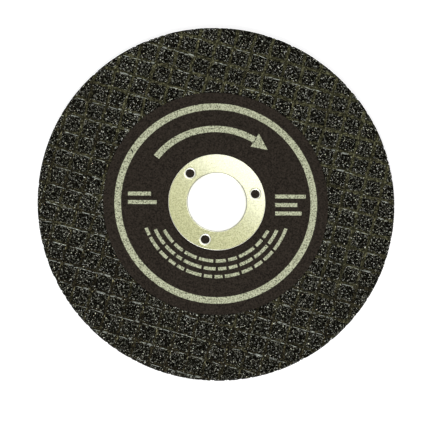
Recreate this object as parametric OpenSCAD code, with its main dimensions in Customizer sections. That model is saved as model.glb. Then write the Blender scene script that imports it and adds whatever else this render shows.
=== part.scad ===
// Thin reinforced cut-off wheel for a small angle grinder.
// It lies on its back with the label up. The origin is on the bore's axis, in the plane of the
// back mesh's highest points, and +Z runs along the bore towards the label. Millimetres.

/* [Wheel] */
// Outside diameter of the wheel
wheel_d = 100; // [75:1:130]
// Thickness of the wheel, measured over the two meshes
wheel_t = 2; // [1.6:0.1:4]
// Rounding of the rim's two edges
rim_edge_r = 0.15; // [0.05:0.05:0.3]

/* [Bore ring] */
// Diameter of the bore that takes the grinder's spindle
bore_d = 16; // [10:0.5:20]
// Outside diameter of the ring's flange
flange_d = 27.2; // [26:0.2:40]
// Gauge of the sheet metal that the ring is pressed from
ring_gauge = 0.3; // [0.2:0.05:0.4]
// Outer radius of the bend between the flange and the collar
bend_r = 0.5; // [0.45:0.05:0.7]
// Rounding that the press leaves on the sheared outer edge of the flange
flange_edge_r = 0.12; // [0.05:0.01:0.18]
// Radial clearance of the collar in the wheel
collar_clearance = 0.05; // [0.02:0.01:0.15]

/* [Keying holes] */
// Number of holes that key the ring to the resin
key_hole_count = 3; // [2:1:6]
// Diameter of each keying hole
key_hole_d = 2.5; // [1.5:0.1:3]
// Angle of the first keying hole
key_angle = 12.5; // [0:0.5:120]
// Width of the drawn-in rounding round each keying hole's upper edge
key_edge_w = 0.5; // [0.1:0.05:0.6]
// Depth of that rounding at the hole's wall
key_edge_depth = 0.18; // [0.05:0.01:0.18]

/* [Label] */
// Diameter of the paper label
label_d = 63; // [45:1:70]
// Thickness of the paper label
label_t = 0.2; // [0.1:0.05:0.3]
// How far the label was laid off centre, to the right
label_shift_x = -0.25; // [-1:0.05:1]
// How far the label was laid off centre, to the far side
label_shift_y = -0.25; // [-1:0.05:1]
// Depth that the ring and the label under it are pressed into the wheel's face
seat_depth = 0.2; // [0.1:0.05:0.3]
// Gap between the flange's edge and the foot of the step that its seat leaves
seat_clearance = 0.1; // [0.05:0.05:0.5]
// Width of the sloping step round the ring's seat
seat_step_w = 0.4; // [0.2:0.05:1]
// Gap between the label's edge and the strands that stop there
label_edge_gap = 0.1; // [0.05:0.05:0.5]

/* [Glass mesh] */
// Pitch of the warp strands, which pass over the weft
warp_pitch = 5.06; // [4:0.02:8]
// Width of a warp strand
warp_w = 0.9; // [0.5:0.05:1.2]
// Thickness of a warp strand above the face
warp_t = 0.12; // [0.08:0.01:0.2]
// Pitch of the weft strands
weft_pitch = 5.14; // [4:0.02:8]
// Width of a weft strand at its foot
weft_w = 1.1; // [0.6:0.05:1.4]
// Thickness of a weft strand above the face
weft_t = 0.12; // [0.08:0.01:0.2]
// Setback of the weft's crown from its foot, on each side
weft_crown_inset = 0.2; // [0.05:0.05:0.25]
// Length of the flat crest of a warp strand over a weft strand
warp_crest_l = 0.9; // [0.4:0.05:1.5]
// Gap between the two strands where they cross
weave_gap = 0.01; // [0.005:0.005:0.03]
// Angle of the front mesh's weft
front_mesh_angle = -15.3; // [-90:0.1:90]
// Place of the front mesh's middle warp strand across the wheel's centre
front_warp_shift = -1.7; // [-2:0.1:2]
// Place of the front mesh's middle weft strand across the wheel's centre
front_weft_shift = -2.2; // [-2.4:0.1:2.4]
// Angle of the back mesh's weft
back_mesh_angle = 28; // [-90:0.1:90]
// Gap between the wheel's hole and the back mesh's inner edge
back_mesh_setback = 0.9; // [0.2:0.1:3]

/* [Hidden] */
$fn = 96;
small_fn = 24;
wheel_r = wheel_d / 2;
bore_r = bore_d / 2;
flange_r = flange_d / 2;
label_r = label_d / 2;
label_shift = [label_shift_x, label_shift_y];

// A warp strand's underside rises to a ridge over each weft strand, clear of the weft's crown
weft_crown_half = weft_w / 2 - weft_crown_inset;
warp_ridge_h = (weft_t + weave_gap) / (1 - 2 * weft_crown_half / weft_pitch);
// A mesh stands this far out of the face where a warp strand crosses a weft strand
crest_h = warp_ridge_h + warp_t;

// Heights of the abrasive's two faces, and of the flange that is pressed into the front one
back_z = crest_h;
front_z = wheel_t - crest_h;
flange_bottom_z = front_z - seat_depth + label_t;
flange_top_z = flange_bottom_z + ring_gauge;

// The wheel's own hole is a running seat for the collar, and the label stops short of the bend
seat_bore_r = bore_r + ring_gauge + collar_clearance;
label_hole_r = bore_r + bend_r + collar_clearance;
seat_r = flange_r + seat_clearance;
back_mesh_hole_r = seat_bore_r + back_mesh_setback;

// The keying holes lie midway across the flat of the flange, and their rounding starts level with it
key_circle_r = (bore_r + bend_r + flange_r) / 2;
key_edge_r = (key_edge_w * key_edge_w + key_edge_depth * key_edge_depth) / (2 * key_edge_depth);

// Cutting tools reach this far past what they cut
past = 1;

// Outline of the front face from the bore outwards: the ring's seat, its step, and the flat face
function front_outline(inner_r, outer_r, lift) = [
    [inner_r, front_z - seat_depth + lift],
    [seat_r, front_z - seat_depth + lift],
    [seat_r + seat_step_w, front_z + lift],
    [outer_r, front_z + lift],
];

function reversed(list) = [for (i = [len(list) - 1 : -1 : 0]) list[i]];

// Places of the strands of one pitch that cross a disc, from a middle strand at shift
function strand_places(pitch, shift, reach) = [
    for (i = [-ceil(reach / pitch) - 1 : ceil(reach / pitch) + 1])
        let (place = shift + i * pitch)
        if (abs(place) < reach) place
];

// Bonded abrasive body, with the ring's seat in its front face and rounded rim edges
module abrasive_disc() {
    rim_r = wheel_r - rim_edge_r;
    color([0.20, 0.20, 0.18])
    rotate_extrude()
    union() {
        polygon(concat(
            [[seat_bore_r, back_z], [rim_r, back_z]],
            reversed(front_outline(seat_bore_r, rim_r, 0))
        ));
        translate([rim_r, back_z + rim_edge_r])
        square([rim_edge_r, front_z - back_z - 2 * rim_edge_r]);
        for (z = [back_z + rim_edge_r, front_z - rim_edge_r])
            translate([rim_r, z])
            intersection() {
                circle(rim_edge_r, $fn = small_fn);
                translate([0, -rim_edge_r]) square([rim_edge_r, 2 * rim_edge_r]);
            }
    }
}

// A strand's outline in the plane across the mesh, drawn out over the strand's length or width
module across_mesh(size) {
    rotate([90, 0, 90]) linear_extrude(size, center = true) children();
}

// Flat weft strand with sloping flanks
module weft_strand() {
    across_mesh(2 * wheel_r)
    polygon([
        [-weft_w / 2, 0],
        [weft_w / 2, 0],
        [weft_crown_half, weft_t],
        [-weft_crown_half, weft_t],
    ]);
}

// Warp strand that dips to the face between the weft strands and climbs over each of them
module warp_strand(weft_places) {
    last = len(weft_places) - 1;
    places = concat([weft_places[0] - weft_pitch], weft_places, [weft_places[last] + weft_pitch]);
    end = places[last + 2] + weft_pitch / 2;
    underside = [for (y = places) each [
        [y - weft_pitch / 2, 0],
        [y, warp_ridge_h],
    ]];
    upper_side = [for (y = places) each [
        [y - weft_pitch / 2, warp_t],
        [y - warp_crest_l / 2, crest_h],
        [y + warp_crest_l / 2, crest_h],
    ]];
    across_mesh(warp_w)
    polygon(concat(underside, [[end, 0], [end, warp_t]], reversed(upper_side)));
}

// Woven mesh that lies on the plane z = 0, all strands uncut
module mesh_strands(warp_shift, weft_shift) {
    weft_places = strand_places(weft_pitch, weft_shift, wheel_r - weft_w);
    warp_places = strand_places(warp_pitch, warp_shift, wheel_r - warp_w);
    for (y = weft_places)
        translate([0, y, 0]) weft_strand();
    for (x = warp_places)
        translate([x, 0, 0]) warp_strand(weft_places);
}

// Mesh disc between the wheel's rim and a round hole
module mesh_disc(angle, warp_shift, weft_shift, hole_r, hole_shift) {
    intersection() {
        rotate(angle) mesh_strands(warp_shift, weft_shift);
        difference() {
            translate([0, 0, -past]) cylinder(h = crest_h + 2 * past, r = wheel_r - rim_edge_r);
            translate([hole_shift.x, hole_shift.y, -2 * past])
            cylinder(h = crest_h + 4 * past, r = hole_r);
        }
    }
}

// Mesh that shows on the front face, round the label
module front_mesh() {
    color([0.33, 0.31, 0.22])
    translate([0, 0, front_z])
    mesh_disc(front_mesh_angle, front_warp_shift, front_weft_shift,
              label_r + label_edge_gap, label_shift);
}

// Mesh on the back face, which runs in to the bore
module back_mesh() {
    color([0.33, 0.31, 0.22])
    translate([0, 0, back_z])
    mirror([0, 0, 1])
    mesh_disc(back_mesh_angle, warp_pitch / 2, weft_pitch / 2, back_mesh_hole_r, [0, 0]);
}

// Paper label, pressed down under the ring
module paper_label() {
    outer_r = label_r + norm(label_shift) + past;
    color([0.18, 0.16, 0.14])
    intersection() {
        rotate_extrude()
        polygon(concat(
            front_outline(label_hole_r, outer_r, 0),
            reversed(front_outline(label_hole_r, outer_r, label_t))
        ));
        translate([label_shift.x, label_shift.y, 0]) cylinder(h = wheel_t + past, r = label_r);
    }
}

// Section of the pressed ring: collar, bend and flange
module ring_section() {
    bend_centre = [bore_r + bend_r, flange_top_z - bend_r];
    edge_centre = [flange_r - flange_edge_r, flange_top_z - flange_edge_r];
    translate([bore_r, back_z]) square([ring_gauge, bend_centre.y - back_z]);
    translate([bend_centre.x, flange_bottom_z]) square([edge_centre.x - bend_centre.x, ring_gauge]);
    translate([edge_centre.x, flange_bottom_z]) square([flange_edge_r, edge_centre.y - flange_bottom_z]);
    translate(edge_centre) quarter_disc(flange_edge_r, 0);
    difference() {
        translate(bend_centre) quarter_disc(bend_r, 90);
        translate(bend_centre) circle(bend_r - ring_gauge, $fn = small_fn);
    }
}

// Quarter of a round disc, from angle on
module quarter_disc(r, angle) {
    intersection() {
        circle(r, $fn = small_fn);
        rotate(angle) square(r);
    }
}

// Tool that pierces one keying hole and rounds its upper edge
module keying_hole() {
    translate([0, 0, flange_bottom_z - past])
    cylinder(h = ring_gauge + 2 * past, d = key_hole_d);
    rotate_extrude()
    translate([0, flange_top_z])
    difference() {
        translate([0, -key_edge_depth]) square([key_hole_d / 2 + key_edge_w, key_edge_depth + past]);
        translate([key_hole_d / 2 + key_edge_w, -key_edge_r]) circle(key_edge_r, $fn = small_fn);
    }
}

// Pressed metal ring that lines the bore
module bore_ring() {
    color([0.80, 0.80, 0.72])
    difference() {
        rotate_extrude() ring_section();
        for (i = [0 : key_hole_count - 1])
            rotate(key_angle + i * 360 / key_hole_count)
            translate([key_circle_r, 0, 0])
            keying_hole();
    }
}

abrasive_disc();
front_mesh();
back_mesh();
paper_label();
bore_ring();
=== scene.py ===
"""Looks of a thin reinforced cut-off wheel that lies on its back, in metres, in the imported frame."""
import math

import bpy
import numpy as np
from mathutils import Matrix, Vector


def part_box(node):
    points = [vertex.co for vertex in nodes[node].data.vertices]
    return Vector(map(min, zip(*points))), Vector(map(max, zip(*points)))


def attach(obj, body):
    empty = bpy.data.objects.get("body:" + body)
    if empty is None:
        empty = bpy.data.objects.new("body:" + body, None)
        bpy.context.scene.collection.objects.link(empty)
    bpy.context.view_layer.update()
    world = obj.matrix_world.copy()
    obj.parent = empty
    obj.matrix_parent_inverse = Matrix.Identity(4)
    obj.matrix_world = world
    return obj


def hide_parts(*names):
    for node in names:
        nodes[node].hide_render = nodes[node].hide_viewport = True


MM = 0.001
FULL_TURN = 2 * math.pi
OPAQUE = 1.0
BLACK = (0.0, 0.0, 0.0)
WHITE = (1.0, 1.0, 1.0)
UNIT_SPAN = (0.0, 1.0)
FALLING_SPAN = (1.0, 0.0)

# Random draws: seed, limit of the seeds of single waves, and the lowest order in a wave
SEED = 20
SEED_LIMIT = 1 << 30
LOWEST_ORDER = 2

# Camera, as the photograph has it: its distance, its tilt off the wheel's axis, and where it leans to
CAMERA_DISTANCE = 0.817
CAMERA_TILT = math.radians(10.61)
CAMERA_LEAN = Vector((-0.394, -0.919))
SENSOR_W = 36.0
LENS = 244.8
IMAGE_SIDE = 430
CENTRE_OFFSET_PX = (1.9, -12.9)

# Lamps: name, place, diameter and power
LAMPS = (
    ("far_side_light", (0.237, 0.360, 0.95), 0.5, 2.6),
    ("near_side_light", (-0.20, -0.85, 0.80), 0.4, 11.5),
)

# Surroundings: soft light, brightness of walls and ceiling by the height of the view, and the floor
SOFT_LIGHT = 0.2
WALL_TO_CEILING = (1.0, 0.42)
CEILING_HEIGHTS = (0.86, 0.97)
FLOOR_HALF_SIDE = 4.0
FLOOR_GREY = (0.42, 0.42, 0.42)
FLOOR_ROUGHNESS = 0.9
FLOOR_SPECULAR = 0.0
FLOOR_GLOW = 0.8

# Sizes that the solids' boxes don't give
LABEL_SHIFT = (-0.25 * MM, -0.25 * MM)
LABEL_EDGE_GAP = 0.1 * MM
CREST_H = 0.2705 * MM
WARP_PITCH = 5.06 * MM
WEFT_PITCH = 5.14 * MM
STRAND_W = 1.15 * MM
WARP_W_SHARE = 0.92
FRONT_MESH = {"angle": -15.3, "warp_shift": -1.7 * MM, "weft_shift": -2.2 * MM}
BACK_MESH = {"angle": 28.0, "warp_shift": WARP_PITCH / 2, "weft_shift": WEFT_PITCH / 2}
BORE_R = 8.0 * MM
BEND_R = 0.5 * MM
SEAT_BORE_R = 8.35 * MM
SEAT_R = 13.7 * MM
SEAT_STEP_W = 0.4 * MM
SEAT_DEPTH = 0.2 * MM
BACK_HOLE_R = 9.25 * MM

# Margins that grains, strands and slivers keep from the rim, and grains and slivers from label and bore
RIM_MARGIN = 0.2 * MM
LABEL_MARGIN = 0.15 * MM
BORE_MARGIN = 0.4 * MM

# Side of the wheel where the strands show most, as a direction in the wheel's plane; on it the strands are
# also painted olive as painted sheen
BARE_AND_SHEEN_SIDE = (0.5, 0.866)
# Side of the wheel where slivers and beads with painted highlights show most, as a direction whose length is
# how much more often
GLINT_SIDE = (-0.6, -0.35)

# Body: points round it, rows up its rim wall, rounding of the rim, and the flat band beside it
BODY_POINTS = 1500
RIM_ROWS = 8
RIM_EDGE = 0.12 * MM
RIM_BAND = 1 * MM
# Roughness of the rim: a slow wave, grit as a shift of single points in mm, and chips with their depth in mm
RIM_WAVE_H = 0.03 * MM
RIM_WAVE_ORDERS = 40
RIM_WAVE_SEED = 1
RIM_GRIT = 0.06
CHIP_COUNT = 110
CHIP_HALF_ANGLE = (0.004, 0.014)
CHIP_DEPTH = (0.08, 0.32)

# Lines of a grid of strands or grains that are worked out beyond the rim
SPARE_LINES = 2

# Abrasive grain: pitches, radius and height in mm, slope of the crown, and share kept on strands; grains
# picked at one pitch get painted glints
COARSE_GRAIN = {
    "pitch": 0.46, "radius": (0.12, 0.23), "height": (0.04, 0.22),
    "tilt": 0.5, "on_strands": 0.04, "glint_pitch": 1.4,
}
FINE_GRAIN = {
    "pitch": 0.46, "radius": (0.09, 0.17), "height": (0.08, 0.26),
    "tilt": 0.7, "on_strands": 0.07, "glint_pitch": 0.97,
}
BACK_GRAIN = {
    "pitch": 0.60, "radius": (0.20, 0.36), "height": (0.04, 0.22),
    "tilt": 0.5, "on_strands": 0.3, "glint_pitch": 1.2,
}
GRAIN_SIDES = 3
GRAIN_JITTER = 0.32
SPOKE_JITTER = 0.28
SPOKE_LENGTH = (0.8, 1.15)
CROWN_SHARE = (0.45, 0.85)
# Span by which the grains with painted glints are grown
GLINT_GROWTH = (0.85, 1.45)
HEX_ROW = math.sqrt(3) / 2
GRAIN_TOP = 0.265 * MM
GRAIN_SINK = 0.1 * MM
CROWN_RIM_MARGIN = 0.02 * MM
FOOT_RIM_MARGIN = 0.1 * MM
STRAND_GRAIN_LIFT = 0.14 * MM
# Reach of the grains over a strand, in half strand widths, and how it and their share fall on the bare side
REACH_OVER = 0.16
REACH_OVER_FALL = 0.25
REACH_OVER_SPREAD = 0.16
ON_STRANDS_FALL = 1.1
# Painted shade on grains beside a strand: middle and half width of the band in half strand widths, and how
# much
FLANK_MIDDLE = 1.35
FLANK_REACH = 0.85
FLANK_SHADE_DEPTH = 0.55
# Tones of the grains and of their facets, as linear brightness, and tints of dull and of bright facets; the
# bright tones are painted glints
DARK_TONE = 0.0055
DARK_TONE_SPREAD = 1.1
GLINT_TONE = (0.45, 1.5)
FACET_TONE_SPREAD = 0.6
FACET_TONE_LIMIT = 0.95
FULL_TINT_TONE = 0.15
DULL_RED = 1.08
RED_FALL = 0.1
DULL_BLUE = 0.52
BLUE_RISE = 0.34
BLUE_SPREAD = 0.14

# Strands: points across, shape of the dome, sideways wander, step along, and the shortest length that is made
RIBBON_POINTS = 8
DOME_POWER = 0.8
STRAND_WANDER = 0.17 * MM
FRONT_STEP = 0.32 * MM
BACK_STEP = 0.42 * MM
SHORTEST_STRAND = 2 * MM
FEWEST_STEPS = 4
# Waves along a strand: length, number of orders, and the share of its width or crest that they change
CENTRE_WAVE = {"length": 14 * MM, "orders": 14}
WIDTH_WAVE = {"length": 4 * MM, "orders": 20, "share": 0.34}
CREST_WAVE = {"length": 6 * MM, "orders": 20, "share": 0.14}
CREST_LIMITS = (0.6, 1)
FRAY_SHARE = 0.06
FIBRE_HEIGHT = (0.75, 1.0)
RIBBON_ROOT = -0.05 * MM
# Height of a strand along its weave, as shares of the crest: mean, and rise at a crossing
WARP_WEAVE = (0.74, 0.26)
WEFT_WEAVE = (0.66, -0.24)

# Slivers of bare glass on the weft, near white as painted glints: share of crossings, start and end in
# pitches, and spans of size in mm
SLIVER_SHARE = 0.68
SLIVER_START = (0.12, 0.35)
SLIVER_END = (0.6, 0.92)
SLIVER_LENGTH = (0.9, 2.8)
SLIVER_W = (0.10, 0.17)
SLIVER_CREST = (0.26, 0.285)
SLIVER_TURN = 0.06
SLIVER_OFFSET = (0.27, 0.42)
SLIVER_GAP = (0.05, 0.35)
SLIVER_STEP = 0.25 * MM
SLIVER_WANDER = 0.01 * MM
TAPER_LIMITS = (0.05, 1)
TWIN_SHARE = 0.25
TWIN_OFFSETS = (0.0, 0.26 * MM)
# Beads of painted highlight on the warp: share of crossings, and spans of place and size in mm
BEAD_SHARE = 0.6
BEAD_SIDEWAYS = (-0.2, 0.2)
BEAD_OFFSET = (0.6, 1.3)
BEAD_LENGTH = (0.4, 1.1)
BEAD_W = (0.2, 0.34)
BEAD_CREST = (0.25, 0.285)

# Print on the label: ring, arrow, rows as radius in mm and two angles, and bars as x, y and length in mm
PRINT_T = 0.012 * MM
PRINT_RING_R = (26.55 * MM, 28.4 * MM)
PRINT_RING_DEG = (0, 359.999)
ARC_STEP_DEG = 1.5
FEWEST_ARC_POINTS = 2
ARROW_R = (20.2 * MM, 22.0 * MM)
ARROW_DEG = (58, 142)
ARROW_HEAD_R = 21.1 * MM
ARROW_HEAD_HALF_W = 2.2 * MM
ARROW_HEAD_DEG = (58.5, 46)
ROWS = ((16.4, 208, 332), (18.6, 204, 336), (20.8, 200, 340))
ROW_H = 0.9 * MM
ROW_GAP = 0.7 * MM
ROW_LENGTHS = (1.6, 5.2)
RIGHT_BARS_X = 16.6
LEFT_BARS_X = -24.6
BARS = (
    (RIGHT_BARS_X, 1.4, 8.6),
    (RIGHT_BARS_X, -1.0, 6.2),
    (RIGHT_BARS_X, -3.4, 7.4),
    (LEFT_BARS_X, 2.0, 6.4),
    (LEFT_BARS_X, -0.4, 8.0),
)
BAR_H = 1.1 * MM
# Dark nick in the printed ring, as the photograph has it
NICK_PLACE = (-23.69 * MM, 14.40 * MM)
NICK_TURN = math.radians(-54.7)
NICK_HALF_SIZE = (0.62 * MM, 0.2 * MM)
NICK_EDGE = (0.8, 1.2)

# Materials: a noise is scale, detail and roughness; a relief is strength and depth; colours are linear
TONE = "tone"
NOISE_SPAN = (0.3, 0.7)
GRAIN = {"mottle": (900.0, 3.0, 0.55), "roughness": (0.3, 0.55), "specular": 0.01}
RESIN = {
    "grit_scale": 4300.0,
    "colours": (
        (0.0, (0.001, 0.001, 0.0008)),
        (0.6, (0.004, 0.0036, 0.0022)),
        (0.82, (0.024, 0.023, 0.016)),
        (1.0, (0.22, 0.22, 0.18)),
    ),
    "roughness": 0.7,
    "specular": 0.008,
    "relief": (1.0, 0.12 * MM),
}
STRAND = {
    "stretch": (900.0, 5000.0, 1.0),
    "fibres": (1.0, 2.0, 0.5),
    "patches": (220.0, 3.0, 0.6),
    "lumps": (2300.0, 2.0, 0.5),
    "mottle_span": (0.72, 1.28),
    "olive": ((0.0, (0.004, 0.0038, 0.0016)), (0.5, (0.031, 0.030, 0.0142)), (1.0, (0.20, 0.198, 0.11))),
    "brown": ((0.0, (0.002, 0.0018, 0.001)), (0.5, (0.008, 0.0068, 0.0037)), (1.0, (0.085, 0.074, 0.040))),
    # Painted sheen and shade: how the strands' colour leans across the wheel
    "lean": (-0.2, 0.2),
    "olive_span": (0.34, 0.66),
    "roughness": (0.45, 0.7),
    "specular": 0.04,
    "relief": (0.9, 0.12 * MM),
}
FILAMENT = {
    "stretch": (700.0, 9000.0, 1.0),
    "streak": (1.0, 3.0, 0.55),
    "stops": (0.3, 0.65),
    "roughness": 0.3,
}
BARE_GLASS_AND_GLINT = ((0.13, 0.14, 0.12), (0.86, 0.93, 0.83))
BEAD_HIGHLIGHT = ((0.07, 0.068, 0.03), (0.44, 0.41, 0.21))
PAPER = {
    "fibre": (2400.0, 3.0, 0.6),
    "colours": ((0.32, (0.008, 0.0065, 0.005)), (0.68, (0.044, 0.035, 0.027))),
    "roughness": (0.6, 0.8),
    "specular": 0.03,
    "relief": (0.4, 0.03 * MM),
}
INK = {
    "speckle": (2700.0, 3.0, 0.6),
    "colours": ((0.34, (0.05, 0.053, 0.035)), (0.48, (0.42, 0.44, 0.29)), (0.66, (0.66, 0.69, 0.49))),
    "nick": (0.014, 0.012, 0.009, OPAQUE),
    "roughness": 0.6,
    "specular": 0.2,
}
METAL = {
    "cloud": (300.0, 4.0, 0.6),
    "satin": (2600.0, 4.0, 0.75),
    "clean": ((0.37, (0.235, 0.238, 0.094)), (0.63, (0.465, 0.468, 0.238))),
    # Painted highlight on the slopes, then the colour and the band of a painted shade round the bend
    "slope_highlight": (0.86, 0.86, 0.78, OPAQUE),
    "bend_shade": (0.22, 0.22, 0.16, OPAQUE),
    "bend_line": ((0.42, BLACK), (0.58, WHITE), (0.9, WHITE), (1.0, BLACK)),
    "flat_normal": (0.9, 0.995),
    "flat_roughness": (0.30, 0.36),
    "slope_roughness": 0.5,
    "metallic": 1.0,
    "coat_roughness": 0.09,
    "coat_ior": 2.35,
    "relief": (0.15, 0.02 * MM),
}
IN_PLANE = (1.0, 1.0, 0.0)

# Sockets of a mixing node, for colours and for plain values
MIX_FACTOR = 0
MIX_COLOURS = {"data_type": "RGBA", "first": 6, "second": 7, "result": 2}
MIX_VALUES = {"data_type": "FLOAT", "first": 2, "second": 3, "result": 0}

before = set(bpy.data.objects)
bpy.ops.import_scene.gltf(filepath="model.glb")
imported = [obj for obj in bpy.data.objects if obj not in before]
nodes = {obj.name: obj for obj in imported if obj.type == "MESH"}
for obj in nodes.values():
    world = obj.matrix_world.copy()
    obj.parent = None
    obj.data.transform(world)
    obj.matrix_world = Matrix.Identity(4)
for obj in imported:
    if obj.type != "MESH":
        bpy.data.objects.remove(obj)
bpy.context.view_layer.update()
rng = np.random.default_rng(SEED)

disc_low, disc_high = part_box("abrasive_disc")
WHEEL_R = disc_high[0]
BACK_Z = disc_low[2]
FRONT_Z = disc_high[2]
label_low, label_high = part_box("paper_label")
LABEL_R = (label_high[0] - label_low[0]) / 2
LABEL_TOP = label_high[2]

# Small chips in the rim: place as an angle, half width as an angle, and depth
chip_places = rng.uniform(-math.pi, math.pi, CHIP_COUNT)
chip_half_angles = rng.uniform(*CHIP_HALF_ANGLE, CHIP_COUNT)
chip_depths = rng.uniform(*CHIP_DEPTH, CHIP_COUNT) * MM


# Shader helpers

def new_material(name):
    material = bpy.data.materials.new(name)
    material.use_nodes = True
    tree = material.node_tree
    return material, tree, tree.nodes["Principled BSDF"]


def feed(tree, socket, value):
    """Link an output to this socket, or set the socket to a constant."""
    if isinstance(value, bpy.types.NodeSocket):
        tree.links.new(value, socket)
    else:
        socket.default_value = value


def set_shader(tree, shader, values):
    for name, value in values.items():
        feed(tree, shader.inputs[name], value)


def add_node(tree, kind, **values):
    """New node, with values for its sockets and its own settings."""
    node = tree.nodes.new(kind)
    for key, value in values.items():
        if key in node.inputs:
            feed(tree, node.inputs[key], value)
        else:
            setattr(node, key, value)
    return node


def noise(tree, coordinates, scale, detail, roughness):
    node = add_node(
        tree, "ShaderNodeTexNoise", Vector=coordinates, Scale=scale, Detail=detail, Roughness=roughness)
    return node.outputs["Fac"]


def ramp(tree, factor, stops):
    node = add_node(tree, "ShaderNodeValToRGB", Fac=factor)
    elements = node.color_ramp.elements
    while len(elements) < len(stops):
        elements.new(stops[-1][0])
    for element, (position, colour) in zip(elements, stops):
        element.position = position
        element.color = (*colour, OPAQUE)
    return node.outputs["Color"]


def spread(tree, factor, to_span, from_span=NOISE_SPAN):
    """Stretch of one span to another, held at both ends."""
    node = add_node(tree, "ShaderNodeMapRange", Value=factor)
    for key, value in zip(("From Min", "From Max", "To Min", "To Max"), (*from_span, *to_span)):
        node.inputs[key].default_value = value
    return node.outputs["Result"]


def bump(tree, height, strength, depth):
    node = add_node(tree, "ShaderNodeBump", Strength=strength, Distance=depth, Height=height)
    return node.outputs["Normal"]


def mix(tree, kind, factor, first, second):
    """Blend of two colours or two values; a factor of 0 gives the first."""
    node = add_node(tree, "ShaderNodeMix", data_type=kind["data_type"])
    feed(tree, node.inputs[MIX_FACTOR], factor)
    feed(tree, node.inputs[kind["first"]], first)
    feed(tree, node.inputs[kind["second"]], second)
    return node.outputs[kind["result"]]


def plain_math(tree, operation, first, second):
    node = add_node(tree, "ShaderNodeMath", operation=operation)
    feed(tree, node.inputs[0], first)
    feed(tree, node.inputs[1], second)
    return node.outputs["Value"]


def vector_math(tree, operation, *values):
    node = add_node(tree, "ShaderNodeVectorMath", operation=operation)
    for socket, value in zip(node.inputs, values):
        feed(tree, socket, value)
    return node.outputs


def object_coordinates(tree):
    return tree.nodes.new("ShaderNodeTexCoord").outputs["Object"]


def uv_coordinates(tree, stretch):
    place = tree.nodes.new("ShaderNodeTexCoord").outputs["UV"]
    return add_node(tree, "ShaderNodeMapping", Vector=place, Scale=stretch).outputs["Vector"]


def oval(tree, coordinates, place, turn, half_size, edge):
    """1 inside an oval in the wheel's plane, 0 outside it, with an edge as a span of its radius."""
    mapping = add_node(
        tree, "ShaderNodeMapping", vector_type="TEXTURE", Vector=coordinates,
        Location=(*place, 0.0), Rotation=(0.0, 0.0, turn), Scale=(*half_size, 1.0))
    reach = vector_math(tree, "LENGTH", mapping.outputs["Vector"])["Value"]
    return spread(tree, reach, FALLING_SPAN, edge)


def seen_rays(tree):
    """1 for camera, glossy and transmission rays, 0 for the rest."""
    path = tree.nodes.new("ShaderNodeLightPath").outputs
    mirrored = plain_math(tree, "MAXIMUM", path["Is Camera Ray"], path["Is Glossy Ray"])
    return plain_math(tree, "MAXIMUM", mirrored, path["Is Transmission Ray"])


# Materials

def grain_material():
    material, tree, shader = new_material("abrasive_grain")
    tone = add_node(tree, "ShaderNodeAttribute", attribute_name=TONE)
    mottle = noise(tree, object_coordinates(tree), *GRAIN["mottle"])
    set_shader(tree, shader, {
        "Base Color": tone.outputs["Color"],
        "Roughness": spread(tree, mottle, GRAIN["roughness"]),
        "Specular IOR Level": GRAIN["specular"],
    })
    return material


def resin_material():
    material, tree, shader = new_material("abrasive_resin")
    coordinates = object_coordinates(tree)
    grit = add_node(tree, "ShaderNodeTexVoronoi", Vector=coordinates, Scale=RESIN["grit_scale"])
    parts = add_node(tree, "ShaderNodeSeparateColor", Color=grit.outputs["Color"]).outputs
    set_shader(tree, shader, {
        "Base Color": ramp(tree, parts["Red"], RESIN["colours"]),
        "Roughness": RESIN["roughness"],
        "Specular IOR Level": RESIN["specular"],
        "Normal": bump(tree, parts["Green"], *RESIN["relief"]),
    })
    return material


def strand_material():
    """Mottled glass strands, olive on one side of the wheel as painted sheen, brown on the other as painted
    shade.
    """
    material, tree, shader = new_material("resin_soaked_glass")
    coordinates = object_coordinates(tree)
    fibres = noise(tree, uv_coordinates(tree, STRAND["stretch"]), *STRAND["fibres"])
    patches = noise(tree, coordinates, *STRAND["patches"])
    lumps = noise(tree, coordinates, *STRAND["lumps"])
    relief = plain_math(tree, "ADD", fibres, lumps)
    mottle = spread(tree, relief, UNIT_SPAN, STRAND["mottle_span"])
    olive = ramp(tree, mottle, STRAND["olive"])
    brown = ramp(tree, mottle, STRAND["brown"])
    # Painted sheen and shade: the colour leans to olive on one side of the wheel and to brown on the other
    side = vector_math(tree, "DOT_PRODUCT", coordinates, (*BARE_AND_SHEEN_SIDE, 0.0))["Value"]
    lean = spread(tree, side, STRAND["lean"], (-WHEEL_R, WHEEL_R))
    share = spread(tree, plain_math(tree, "ADD", patches, lean), UNIT_SPAN, STRAND["olive_span"])
    set_shader(tree, shader, {
        "Base Color": mix(tree, MIX_COLOURS, share, brown, olive),
        "Roughness": spread(tree, fibres, STRAND["roughness"]),
        "Specular IOR Level": STRAND["specular"],
        "Normal": bump(tree, relief, *STRAND["relief"]),
    })
    return material


def filament_material(name, colours):
    """Streaks between a dull and a bright colour along the length; the bright colour is a painted highlight.
    """
    material, tree, shader = new_material(name)
    streak = noise(tree, uv_coordinates(tree, FILAMENT["stretch"]), *FILAMENT["streak"])
    set_shader(tree, shader, {
        "Base Color": ramp(tree, streak, tuple(zip(FILAMENT["stops"], colours))),
        "Roughness": FILAMENT["roughness"],
    })
    return material


def paper_material():
    material, tree, shader = new_material("label_paper")
    fibre = noise(tree, object_coordinates(tree), *PAPER["fibre"])
    set_shader(tree, shader, {
        "Base Color": ramp(tree, fibre, PAPER["colours"]),
        "Roughness": spread(tree, fibre, PAPER["roughness"]),
        "Specular IOR Level": PAPER["specular"],
        "Normal": bump(tree, fibre, *PAPER["relief"]),
    })
    return material


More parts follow.
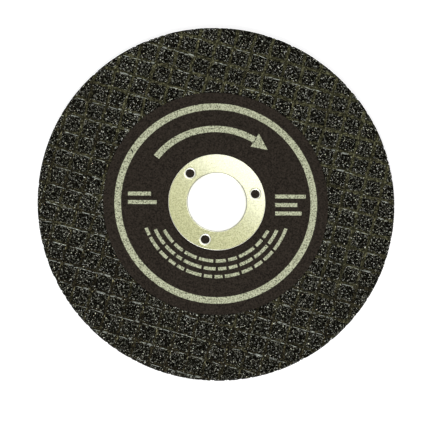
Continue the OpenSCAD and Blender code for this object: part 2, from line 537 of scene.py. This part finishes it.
def ink_material():
    """Speckled pale ink with one nick that shows the dark paper."""
    material, tree, shader = new_material("label_ink")
    coordinates = object_coordinates(tree)
    speckle = noise(tree, coordinates, *INK["speckle"])
    nick = oval(tree, coordinates, NICK_PLACE, NICK_TURN, NICK_HALF_SIZE, NICK_EDGE)
    set_shader(tree, shader, {
        "Base Color": mix(tree, MIX_COLOURS, nick, ramp(tree, speckle, INK["colours"]), INK["nick"]),
        "Roughness": INK["roughness"],
        "Specular IOR Level": INK["specular"],
    })
    return material


def metal_material():
    """Coated yellowish sheet, rougher and painted paler on its slopes as highlight, with a dark line of
    painted shade round the bend.
    """
    material, tree, shader = new_material("tinned_sheet")
    coordinates = object_coordinates(tree)
    cloud = noise(tree, coordinates, *METAL["cloud"])
    satin = noise(tree, coordinates, *METAL["satin"])
    geometry = tree.nodes.new("ShaderNodeNewGeometry").outputs
    upward = add_node(tree, "ShaderNodeSeparateXYZ", Vector=geometry["True Normal"]).outputs["Z"]
    slope = spread(tree, upward, FALLING_SPAN, METAL["flat_normal"])
    # Painted highlight: a paler, whiter colour on the slopes of the bend and the hole rims
    with_slope_highlight = mix(tree, MIX_COLOURS, slope, ramp(tree, satin, METAL["clean"]), METAL["slope_highlight"])
    flat = vector_math(tree, "MULTIPLY", coordinates, IN_PLANE)["Vector"]
    radius = vector_math(tree, "LENGTH", flat)["Value"]
    # Painted shade: a dark line round the bend
    from_bore = spread(tree, radius, UNIT_SPAN, (BORE_R, BORE_R + BEND_R))
    line = ramp(tree, from_bore, METAL["bend_line"])
    satin_roughness = spread(tree, cloud, METAL["flat_roughness"])
    set_shader(tree, shader, {
        "Base Color": mix(tree, MIX_COLOURS, line, with_slope_highlight, METAL["bend_shade"]),
        "Roughness": mix(tree, MIX_VALUES, slope, satin_roughness, METAL["slope_roughness"]),
        "Metallic": METAL["metallic"],
        "Coat Weight": spread(tree, upward, UNIT_SPAN, METAL["flat_normal"]),
        "Coat Roughness": METAL["coat_roughness"],
        "Coat IOR": METAL["coat_ior"],
        "Normal": bump(tree, satin, *METAL["relief"]),
    })
    return material


def floor_material():
    material, tree, shader = new_material("floor_white")
    set_shader(tree, shader, {
        "Base Color": (*FLOOR_GREY, OPAQUE),
        "Roughness": FLOOR_ROUGHNESS,
        "Specular IOR Level": FLOOR_SPECULAR,
        "Emission Color": (*WHITE, OPAQUE),
        "Emission Strength": plain_math(tree, "MULTIPLY", seen_rays(tree), FLOOR_GLOW),
    })
    return material


# Mesh helpers

def add_piece(name, vertices, faces, material, smooth=False, uvs=None, tones=None):
    """New mesh piece that rides on the wheel. uvs are per vertex; tones are linear colours per face."""
    mesh = bpy.data.meshes.new(name)
    mesh.from_pydata(np.asarray(vertices).tolist(), [], faces)
    mesh.materials.append(material)
    mesh.polygons.foreach_set("use_smooth", np.full(len(mesh.polygons), smooth))
    if uvs is not None:
        layer = mesh.uv_layers.new(name="along_and_across")
        corner = np.empty(len(mesh.loops), dtype=np.int32)
        mesh.loops.foreach_get("vertex_index", corner)
        layer.data.foreach_set("uv", np.asarray(uvs, dtype=np.float32)[corner].ravel())
    if tones is not None:
        layer = mesh.attributes.new(TONE, "FLOAT_COLOR", "CORNER")
        corners = [len(face) for face in faces]
        layer.data.foreach_set("color", np.repeat(tones, corners, axis=0).astype(np.float32).ravel())
    mesh.update()
    piece = bpy.data.objects.new(name, mesh)
    bpy.context.scene.collection.objects.link(piece)
    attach(piece, "root")
    return piece


def join_lists(parts):
    """One vertex array and one face list from several (vertices, faces) pairs."""
    vertices = []
    faces = []
    count = 0
    for part_vertices, part_faces in parts:
        vertices.append(part_vertices)
        faces.extend([tuple(i + count for i in face) for face in part_faces])
        count += len(part_vertices)
    return np.concatenate(vertices), faces


def prism_faces(sides):
    """Top, bottom and sides of a closed prism whose points are the bottom ring and then the top ring."""
    faces = [tuple(range(sides, 2 * sides)), tuple(reversed(range(sides)))]
    faces += [(k, (k + 1) % sides, sides + (k + 1) % sides, sides + k) for k in range(sides)]
    return faces


def flipped(faces):
    return [tuple(reversed(face)) for face in faces]


def wavy(angle, count, seed):
    """Smooth random wave of this many orders, within about one unit."""
    local = np.random.default_rng(seed)
    total = np.zeros_like(angle)
    for order in range(LOWEST_ORDER, LOWEST_ORDER + count):
        total += local.normal() * np.sin(order * angle + local.uniform(0, FULL_TURN)) / math.sqrt(count)
    return total


def chip_depth(x, y):
    """How far a chip cuts into the rim at the angle of these points."""
    angle = np.arctan2(y, x)
    depth = np.zeros_like(angle)
    for place, half_angle, most in zip(chip_places, chip_half_angles, chip_depths):
        away = (angle - place + math.pi) % FULL_TURN - math.pi
        depth = np.maximum(depth, most * np.clip(1 - np.abs(away) / half_angle, 0, 1))
    return depth


# Places on the two faces and on the strands of a mesh

def inside_rim(points):
    from_axis = np.hypot(points[:, 0], points[:, 1])
    return from_axis < WHEEL_R - RIM_MARGIN - chip_depth(points[:, 0], points[:, 1])


def on_front(points):
    from_label = np.hypot(points[:, 0] - LABEL_SHIFT[0], points[:, 1] - LABEL_SHIFT[1])
    return (from_label > LABEL_R + LABEL_MARGIN) & inside_rim(points)


def on_back(points):
    from_axis = np.hypot(points[:, 0], points[:, 1])
    return (from_axis > SEAT_BORE_R + BORE_MARGIN) & inside_rim(points)


def mesh_axes(mesh):
    """Unit vectors along the weft and along the warp."""
    angle = math.radians(mesh["angle"])
    weft = np.array([math.cos(angle), math.sin(angle)])
    return weft, np.array([-weft[1], weft[0]])


def distance_to_line(values, pitch, shift):
    return np.abs((values - shift + pitch / 2) % pitch - pitch / 2)


def distance_to_strand(points, mesh):
    weft, warp = mesh_axes(mesh)
    from_warp = distance_to_line(points @ weft, WARP_PITCH, mesh["warp_shift"])
    from_weft = distance_to_line(points @ warp, WEFT_PITCH, mesh["weft_shift"])
    return np.minimum(from_warp, from_weft)


def strand_offsets(pitch, shift):
    reach = int(WHEEL_R / pitch) + SPARE_LINES
    places = shift + pitch * np.arange(-reach, reach + 1)
    return places[np.abs(places) < WHEEL_R - STRAND_W]


def bareness(points):
    """How bare of grain the strands are, from -1 on one side of the wheel to 1 on the other."""
    return points @ np.array(BARE_AND_SHEEN_SIDE) / WHEEL_R


# Abrasive body with a rough, slightly chipped rim

def body_rows():
    """Radius, height and whether it is rough, for each row of points round the body's section."""
    rows = [
        (SEAT_BORE_R, FRONT_Z - SEAT_DEPTH, False),
        (SEAT_BORE_R, BACK_Z, False),
        (WHEEL_R - RIM_BAND, BACK_Z, False),
        (WHEEL_R - RIM_EDGE, BACK_Z, True),
    ]
    for i in range(RIM_ROWS):
        share = i / (RIM_ROWS - 1)
        rows.append((WHEEL_R, BACK_Z + RIM_EDGE + share * (FRONT_Z - BACK_Z - 2 * RIM_EDGE), True))
    rows += [
        (WHEEL_R - RIM_EDGE, FRONT_Z, True),
        (WHEEL_R - RIM_BAND, FRONT_Z, False),
        (SEAT_R + SEAT_STEP_W, FRONT_Z, False),
        (SEAT_R, FRONT_Z - SEAT_DEPTH, False),
    ]
    return rows


def make_body(material):
    around = BODY_POINTS
    angle = np.linspace(0, FULL_TURN, around, endpoint=False)
    wave = RIM_WAVE_H * wavy(angle, RIM_WAVE_ORDERS, RIM_WAVE_SEED)
    chips = chip_depth(np.cos(angle), np.sin(angle))
    rows = body_rows()
    vertices = []
    for radius, z, rough in rows:
        out = np.full(around, radius)
        if rough:
            out = np.minimum(out - chips + wave + rng.uniform(-RIM_GRIT, RIM_GRIT, around) * MM, WHEEL_R)
        vertices.append(np.stack([out * np.cos(angle), out * np.sin(angle), np.full(around, z)], axis=1))
    faces = []
    for row in range(len(rows)):
        here = row * around
        there = (row + 1) % len(rows) * around
        for i in range(around):
            j = (i + 1) % around
            faces.append((here + j, there + j, there + i, here + i))
    piece = add_piece("abrasive_body", np.concatenate(vertices), faces, material)
    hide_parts("abrasive_disc")


# Faceted grains that stand out of the resin between the strands

def grain_places(size, mesh, inside):
    """Jittered hexagonal grid of points that lie inside, thinned out on the strands of the mesh.

    With each point come its height above the face and its painted shade beside a strand, as a factor on its
    brightness.
    """
    pitch = size["pitch"] * MM
    reach = int(WHEEL_R / pitch) + SPARE_LINES
    column, row = np.meshgrid(np.arange(-reach, reach + 1), np.arange(-reach * 2, reach * 2 + 1))
    x = (column + 0.5 * (row % 2)) * pitch
    y = row * pitch * HEX_ROW
    points = np.stack([x.ravel(), y.ravel()], axis=1)
    points += rng.uniform(-GRAIN_JITTER, GRAIN_JITTER, points.shape) * pitch
    bare = bareness(points)
    away = distance_to_strand(points, mesh) / (STRAND_W / 2)
    reach_over = rng.normal(REACH_OVER - REACH_OVER_FALL * bare, REACH_OVER_SPREAD)
    stays = rng.uniform(0, 1, len(points)) < size["on_strands"] * (1 - ON_STRANDS_FALL * bare)
    kept = inside(points) & ((away > 1 - reach_over) | stays)
    lift = STRAND_GRAIN_LIFT * np.sqrt(np.clip(1 - away ** 2, 0, 1))
    # Painted shade on the grains beside each strand
    flank = np.clip(1 - np.abs(away - FLANK_MIDDLE) / FLANK_REACH, 0, 1)
    return points[kept], lift[kept], 1 - FLANK_SHADE_DEPTH * flank[kept]


def spread_out(points, pitch):
    """True for one point, at random, in each square of this pitch."""
    order = rng.permutation(len(points))
    squares = np.floor(points[order] / pitch).astype(int)
    first = np.unique(squares, axis=0, return_index=True)[1]
    chosen = np.zeros(len(points), dtype=bool)
    chosen[order[first]] = True
    return chosen


def grain_rings(size, points, lift, face_z, out):
    """Foot and crown corners of each grain, and which grains get painted glints."""
    sides = GRAIN_SIDES
    count = len(points)
    turn = rng.uniform(0, FULL_TURN, (count, 1))
    jitter = rng.uniform(-SPOKE_JITTER, SPOKE_JITTER, (count, sides))
    spoke = turn + (np.arange(sides) + jitter) * FULL_TURN / sides
    lit = spread_out(points, size["glint_pitch"] * MM)
    radius = rng.uniform(*size["radius"], (count, 1)) * rng.uniform(*SPOKE_LENGTH, (count, sides)) * MM
    radius *= np.where(lit, rng.uniform(*GLINT_GROWTH, count), 1.0)[:, None]
    crown = rng.uniform(*CROWN_SHARE, (count, sides)) * radius
    height = rng.uniform(*size["height"], (count, 1)) * MM
    tilt = rng.normal(0, size["tilt"], (count, 2))
    direction = np.stack([np.cos(spoke), np.sin(spoke)], axis=2)
    foot = points[:, None, :] + radius[..., None] * direction
    top = points[:, None, :] + crown[..., None] * direction
    rise = np.einsum("ik,ijk->ij", tilt, top - points[:, None, :])
    rise = np.clip(height + rise + lift[:, None], 0.0, GRAIN_TOP)
    bottom = np.broadcast_to((face_z + out * (lift - GRAIN_SINK))[:, None, None], (count, sides, 1))
    low = np.concatenate([foot, bottom], axis=2)
    high = np.concatenate([top, (face_z + out * rise)[..., None]], axis=2)
    for ring, limit in ((high, WHEEL_R - CROWN_RIM_MARGIN), (low, WHEEL_R - FOOT_RIM_MARGIN)):
        beyond = np.linalg.norm(ring[..., :2], axis=2, keepdims=True) / limit
        ring[..., :2] /= np.maximum(beyond, 1)
    return low, high, lit


def grain_tones(lit, light, facets):
    """Linear colour of each facet, where every grain has this many facets; bright tones are painted glints.
    """
    count = len(lit)
    total = count * facets
    dark = DARK_TONE * np.exp(rng.normal(0, DARK_TONE_SPREAD, count))
    bright = rng.uniform(*GLINT_TONE, count)
    shade = np.repeat(light * np.where(lit, bright, dark), facets)
    shade = np.minimum(shade * np.exp(rng.normal(0, FACET_TONE_SPREAD, total)), FACET_TONE_LIMIT)
    share = np.minimum(shade / FULL_TINT_TONE, 1)
    red = DULL_RED - RED_FALL * share
    blue = DULL_BLUE + BLUE_RISE * share + rng.uniform(-BLUE_SPREAD, BLUE_SPREAD, total)
    tint = np.stack([red, np.ones(total), blue], axis=1)
    return np.column_stack([shade[:, None] * tint, np.full(total, OPAQUE)])


def make_grain(name, size, mesh, inside, face_z, out, material):
    """Faceted grains on the face at face_z; out is 1 on the front face and -1 on the back."""
    points, lift, light = grain_places(size, mesh, inside)
    low, high, lit = grain_rings(size, points, lift, face_z, out)
    vertices = np.concatenate([low, high], axis=1).reshape(-1, 3)
    pattern = prism_faces(GRAIN_SIDES)
    if out < 0:
        pattern = flipped(pattern)
    corners = 2 * GRAIN_SIDES
    faces = [tuple(i + corners * grain for i in face) for grain in range(len(points)) for face in pattern]
    tones = grain_tones(lit, light, len(pattern))
    add_piece(name, vertices, faces, material, tones=tones)


# Strands of the woven glass mesh

def strand_runs(offset, inner_r, inner_centre, outer_r):
    """Stretches of a straight line at this offset that lie between two circles, as (start, end) pairs.

    offset is across the strand; inner_centre is (along, across) the strand.
    """
    if abs(offset) >= outer_r:
        return []
    half = math.sqrt(outer_r ** 2 - offset ** 2)
    across = offset - inner_centre[1]
    if abs(across) >= inner_r:
        return [(-half, half)]
    gap = math.sqrt(inner_r ** 2 - across ** 2)
    return [(-half, inner_centre[0] - gap), (inner_centre[0] + gap, half)]


def strand_wave(along, wave):
    return wavy(along / wave["length"], wave["orders"], int(rng.integers(SEED_LIMIT)))


def ribbon_faces(count, ring):
    """Faces of a closed tube of this many rings, with this many points in a ring."""
    faces = []
    for i in range(count - 1):
        for k in range(ring):
            following = (k + 1) % ring
            faces.append((i * ring + k, (i + 1) * ring + k, (i + 1) * ring + following, i * ring + following))
    faces.append(tuple(range(ring)))
    faces.append(tuple(reversed(range((count - 1) * ring, count * ring))))
    return faces


def ribbon(start, end, step, width, height_at, wander):
    """Domed ribbon along x from start to end: vertices (along, across, up), faces and uvs."""
    count = max(FEWEST_STEPS, int((end - start) / step))
    along = np.linspace(start, end, count)
    section = np.linspace(-1, 1, RIBBON_POINTS)
    dome = np.sqrt(np.clip(1 - section ** 2, 0, 1)) ** DOME_POWER
    centre = wander * strand_wave(along, CENTRE_WAVE)
    half = width / 2 * (1 + WIDTH_WAVE["share"] * strand_wave(along, WIDTH_WAVE))
    swell = np.clip(1 + CREST_WAVE["share"] * strand_wave(along, CREST_WAVE), *CREST_LIMITS)
    crest = height_at(along) * swell
    fray = rng.normal(0, FRAY_SHARE * width, (count, RIBBON_POINTS))
    across = centre[:, None] + half[:, None] * section + fray
    up = crest[:, None] * dome * rng.uniform(*FIBRE_HEIGHT, (count, RIBBON_POINTS))
    up[:, 0] = RIBBON_ROOT
    up[:, -1] = RIBBON_ROOT
    points = np.stack([np.broadcast_to(along[:, None], across.shape), across, up], axis=2)
    uvs = np.stack([points[..., 0], np.broadcast_to(section * width / 2, across.shape)], axis=2)
    faces = ribbon_faces(count, RIBBON_POINTS)
    return points.reshape(-1, 3), faces, uvs.reshape(-1, 2) + rng.uniform(0, 1, 2)


def weave_height(pitch, shift, weave):
    """Height of a strand by the place along it, as it passes the strands of the other kind."""
    mean, rise = weave

    def height(place):
        return CREST_H * (mean + rise * np.cos(FULL_TURN * (place - shift) / pitch))
    return height


def make_strands(name, node, mesh, face_z, out, inner_r, inner_centre, step, material):
    """All strands of a mesh outside the circle of inner_r, on the face at face_z."""
    weft, warp = mesh_axes(mesh)
    outer_r = WHEEL_R - RIM_MARGIN
    centre = np.array([np.dot(inner_centre, weft), np.dot(inner_centre, warp)])
    weft_height = weave_height(WARP_PITCH, mesh["warp_shift"], WEFT_WEAVE)
    warp_height = weave_height(WEFT_PITCH, mesh["weft_shift"], WARP_WEAVE)
    kinds = (
        (weft, warp, WEFT_PITCH, mesh["weft_shift"], weft_height, centre, STRAND_W),
        (warp, -weft, WARP_PITCH, -mesh["warp_shift"], warp_height,
         np.array([centre[1], -centre[0]]), STRAND_W * WARP_W_SHARE),
    )
    parts = []
    uvs = []
    for along, across, pitch, shift, height, hole, width in kinds:
        for offset in strand_offsets(pitch, shift):
            for start, end in strand_runs(offset, inner_r, hole, outer_r):
                if end - start < SHORTEST_STRAND:
                    continue
                points, faces, uv = ribbon(start, end, step, width, height, STRAND_WANDER)
                flat = points[:, :1] * along + (points[:, 1:2] + offset) * across
                rim = outer_r - chip_depth(flat[:, 0], flat[:, 1])
                flat /= np.maximum(np.linalg.norm(flat, axis=1) / rim, 1)[:, None]
                place = np.column_stack([flat, face_z + out * points[:, 2]])
                if out < 0:
                    faces = flipped(faces)
                parts.append((place, faces))
                uvs.append(uv)
    vertices, faces = join_lists(parts)
    piece = add_piece(name, vertices, faces, material, smooth=True, uvs=np.concatenate(uvs))
    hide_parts(node)


# Bare glass slivers on the weft's near flank, near white as painted glints, and beads of painted highlight on
# the warp beside each crossing

def sliver(middle, along, length, width, crest):
    """Thin tapered ribbon that lies on a strand: vertices above the plane z = 0, faces and uvs."""
    across = np.array([-along[1], along[0]])

    def height(place):
        return np.full_like(place, crest)

    points, faces, uv = ribbon(-length / 2, length / 2, SLIVER_STEP, width, height, SLIVER_WANDER)
    taper = np.sqrt(np.clip(1 - (2 * points[:, 0] / length) ** 2, *TAPER_LIMITS))
    flat = middle + points[:, :1] * along + points[:, 1:2] * taper[:, None] * across
    return np.column_stack([flat, points[:, 2]]), faces, uv


def weft_slivers(x, y, weft, warp):
    """Broken line of painted glint on bare glass, along the weft's near flank, across one opening of the
    mesh.
    """
    parts = []
    place = x + WARP_PITCH * rng.uniform(*SLIVER_START)
    end = x + WARP_PITCH * rng.uniform(*SLIVER_END)
    while place < end:
        length = rng.uniform(*SLIVER_LENGTH) * MM
        turn = rng.normal(0, SLIVER_TURN)
        middle = (place + length / 2) * weft + (y - rng.uniform(*SLIVER_OFFSET) * MM) * warp
        along = math.cos(turn) * weft + math.sin(turn) * warp
        twin = rng.uniform() < TWIN_SHARE
        for beside in TWIN_OFFSETS[:1 + int(twin)]:
            crest = rng.uniform(*SLIVER_CREST) * MM
            width = rng.uniform(*SLIVER_W) * MM
            parts.append(sliver(middle + beside * warp, along, length, width, crest))
        place += length + rng.uniform(*SLIVER_GAP) * MM
    return parts


def warp_beads(x, y, weft, warp):
    """One bead of painted highlight on the warp, on the near side of a crossing."""
    middle = (x + rng.uniform(*BEAD_SIDEWAYS) * MM) * weft + (y - rng.uniform(*BEAD_OFFSET) * MM) * warp
    length = rng.uniform(*BEAD_LENGTH) * MM
    width = rng.uniform(*BEAD_W) * MM
    crest = rng.uniform(*BEAD_CREST) * MM
    return [sliver(middle, warp, length, width, crest)]


def make_slivers(name, mesh, face_z, inside, share, shape, material):
    """Slivers of one shape at this share of the crossings, more of them where the painted highlights show
    most.
    """
    weft, warp = mesh_axes(mesh)
    parts = []
    uvs = []
    for y in strand_offsets(WEFT_PITCH, mesh["weft_shift"]):
        for x in strand_offsets(WARP_PITCH, mesh["warp_shift"]):
            more = (x * weft + y * warp) @ np.array(GLINT_SIDE) / WHEEL_R
            if rng.uniform() > share * (1 + more):
                continue
            for points, faces, uv in shape(x, y, weft, warp):
                if inside(points).all():
                    points[:, 2] += face_z
                    parts.append((points, faces))
                    uvs.append(uv)
    vertices, faces = join_lists(parts)
    add_piece(name, vertices, faces, material, smooth=True, uvs=np.concatenate(uvs))


# Print on the label: plain shapes only

def arc_band(inner_r, outer_r, start_deg, end_deg):
    """Flat curved bar on the label between two angles, a closed thin solid."""
    count = max(FEWEST_ARC_POINTS, int(abs(end_deg - start_deg) / ARC_STEP_DEG) + 1)
    angle = np.radians(np.linspace(start_deg, end_deg, count))
    section = ((inner_r, 0), (outer_r, 0), (outer_r, PRINT_T), (inner_r, PRINT_T))
    rows = []
    faces = []
    for row, (radius, z) in enumerate(section):
        rows.append(np.stack([radius * np.cos(angle), radius * np.sin(angle), np.full(count, z)], axis=1))
        here = row * count
        there = (row + 1) % len(section) * count
        for i in range(count - 1):
            faces.append((there + i, there + i + 1, here + i + 1, here + i))
    first = [row * count for row in range(len(section))]
    faces.append(tuple(reversed(first)))
    faces.append(tuple(start + count - 1 for start in first))
    return np.concatenate(rows), faces


def plate(corners):
    """Flat shape on the label from its corners, a closed thin solid."""
    vertices = np.array([(*corner, z) for z in (0, PRINT_T) for corner in corners])
    return vertices, prism_faces(len(corners))


def bar(x, y, length, height):
    return plate([(x, y), (x + length, y), (x + length, y + height), (x, y + height)])


def arrow_head(radius, half_width, start_deg, end_deg):
    """Three-cornered head that points along the circle from start to end."""
    start = math.radians(start_deg)
    end = math.radians(end_deg)
    corners = [(radius - half_width, start), (radius, end), (radius + half_width, start)]
    return plate([(r * math.cos(a), r * math.sin(a)) for r, a in corners])


def curved_row(radius, height, start_deg, end_deg, lengths):
    """Row of curved bars round a circle, with short gaps. The last bar takes up what is left."""
    gap = math.degrees(ROW_GAP / radius)
    shortest = math.degrees(lengths[0] * MM / radius)
    parts = []
    place = start_deg
    while place < end_deg:
        stop = place + math.degrees(rng.uniform(*lengths) * MM / radius)
        if end_deg - stop < gap + shortest:
            stop = end_deg
        parts.append(arc_band(radius - height / 2, radius + height / 2, place, stop))
        place = stop + gap
    return parts


def make_print(material):
    parts = [
        arc_band(*PRINT_RING_R, *PRINT_RING_DEG),
        arc_band(*ARROW_R, *ARROW_DEG),
        arrow_head(ARROW_HEAD_R, ARROW_HEAD_HALF_W, *ARROW_HEAD_DEG),
    ]
    for radius, start, end in ROWS:
        parts += curved_row(radius * MM, ROW_H, start, end, ROW_LENGTHS)
    for x, y, length in BARS:
        parts.append(bar(x * MM, y * MM, length * MM, BAR_H))
    vertices, faces = join_lists(parts)
    vertices = vertices + np.array([LABEL_SHIFT[0], LABEL_SHIFT[1], LABEL_TOP])
    add_piece("label_print", vertices, faces, material)


# Stage

def make_floor(material):
    side = FLOOR_HALF_SIDE
    mesh = bpy.data.meshes.new("floor")
    corners = [(-side, -side, 0), (side, -side, 0), (side, side, 0), (-side, side, 0)]
    mesh.from_pydata(corners, [], [tuple(range(len(corners)))])
    mesh.materials.append(material)
    floor = bpy.data.objects.new("floor", mesh)
    bpy.context.scene.collection.objects.link(floor)


def add_lamp(name, place, diameter, power):
    """White round lamp that shines at the wheel's centre."""
    light = bpy.data.lights.new(name, "AREA")
    light.shape = "DISK"
    light.size = diameter
    light.energy = power
    lamp = bpy.data.objects.new(name, light)
    lamp.location = place
    lamp.rotation_euler = (-Vector(place)).to_track_quat("-Z", "Y").to_euler()
    bpy.context.scene.collection.objects.link(lamp)


def make_world():
    """Dim soft light all round, seen and mirrored as white walls under a grey ceiling."""
    world = bpy.data.worlds.new("studio")
    world.use_nodes = True
    tree = world.node_tree
    view = tree.nodes.new("ShaderNodeTexCoord").outputs["Generated"]
    height = add_node(tree, "ShaderNodeSeparateXYZ", Vector=view).outputs["Z"]
    walls = spread(tree, height, WALL_TO_CEILING, CEILING_HEIGHTS)
    set_shader(tree, tree.nodes["Background"], {
        "Color": (*WHITE, OPAQUE),
        "Strength": mix(tree, MIX_VALUES, seen_rays(tree), SOFT_LIGHT, walls),
    })
    return world


def make_stage():
    scene = bpy.context.scene
    scene.view_settings.view_transform = "Standard"
    scene.world = make_world()
    make_floor(floor_material())
    for lamp in LAMPS:
        add_lamp(*lamp)


def make_camera():
    camera = bpy.data.cameras.new("camera")
    camera.sensor_width = SENSOR_W
    camera.lens = LENS
    camera.shift_x = -CENTRE_OFFSET_PX[0] / IMAGE_SIDE
    camera.shift_y = CENTRE_OFFSET_PX[1] / IMAGE_SIDE
    lean = CAMERA_LEAN.normalized() * math.sin(CAMERA_TILT)
    towards = Vector((lean.x, lean.y, math.cos(CAMERA_TILT)))
    turn = Vector((0, 0, 1)).rotation_difference(towards).to_matrix().to_4x4()
    target = Vector((0, 0, FRONT_Z + CREST_H))
    view = bpy.data.objects.new("camera", camera)
    view.matrix_world = Matrix.Translation(target + CAMERA_DISTANCE * towards) @ turn
    bpy.context.scene.collection.objects.link(view)
    bpy.context.scene.camera = view


def set_material(node, material):
    node.data.materials.clear()
    node.data.materials.append(material)


def main():
    make_camera()
    make_stage()
    make_body(resin_material())
    grain = grain_material()
    make_grain("front_coarse_grain", COARSE_GRAIN, FRONT_MESH, on_front, FRONT_Z, 1, grain)
    make_grain("front_fine_grain", FINE_GRAIN, FRONT_MESH, on_front, FRONT_Z, 1, grain)
    make_grain("back_grain", BACK_GRAIN, BACK_MESH, on_back, BACK_Z, -1, grain)
    strand = strand_material()
    make_strands("front_strands", "front_mesh", FRONT_MESH, FRONT_Z, 1,
                 LABEL_R + LABEL_EDGE_GAP, LABEL_SHIFT, FRONT_STEP, strand)
    make_strands("back_strands", "back_mesh", BACK_MESH, BACK_Z, -1,
                 BACK_HOLE_R, (0.0, 0.0), BACK_STEP, strand)
    # Slivers of bare glass, near white as painted glints
    glass = filament_material("bare_glass_and_glint", BARE_GLASS_AND_GLINT)
    make_slivers("front_glass_glint_slivers", FRONT_MESH, FRONT_Z, on_front, SLIVER_SHARE, weft_slivers, glass)
    # Beads of painted highlight on the warp
    bead = filament_material("painted_bead_highlight", BEAD_HIGHLIGHT)
    make_slivers("front_highlight_beads", FRONT_MESH, FRONT_Z, on_front, BEAD_SHARE, warp_beads, bead)
    make_print(ink_material())
    set_material(nodes["paper_label"], paper_material())
    set_material(nodes["bore_ring"], metal_material())


main()
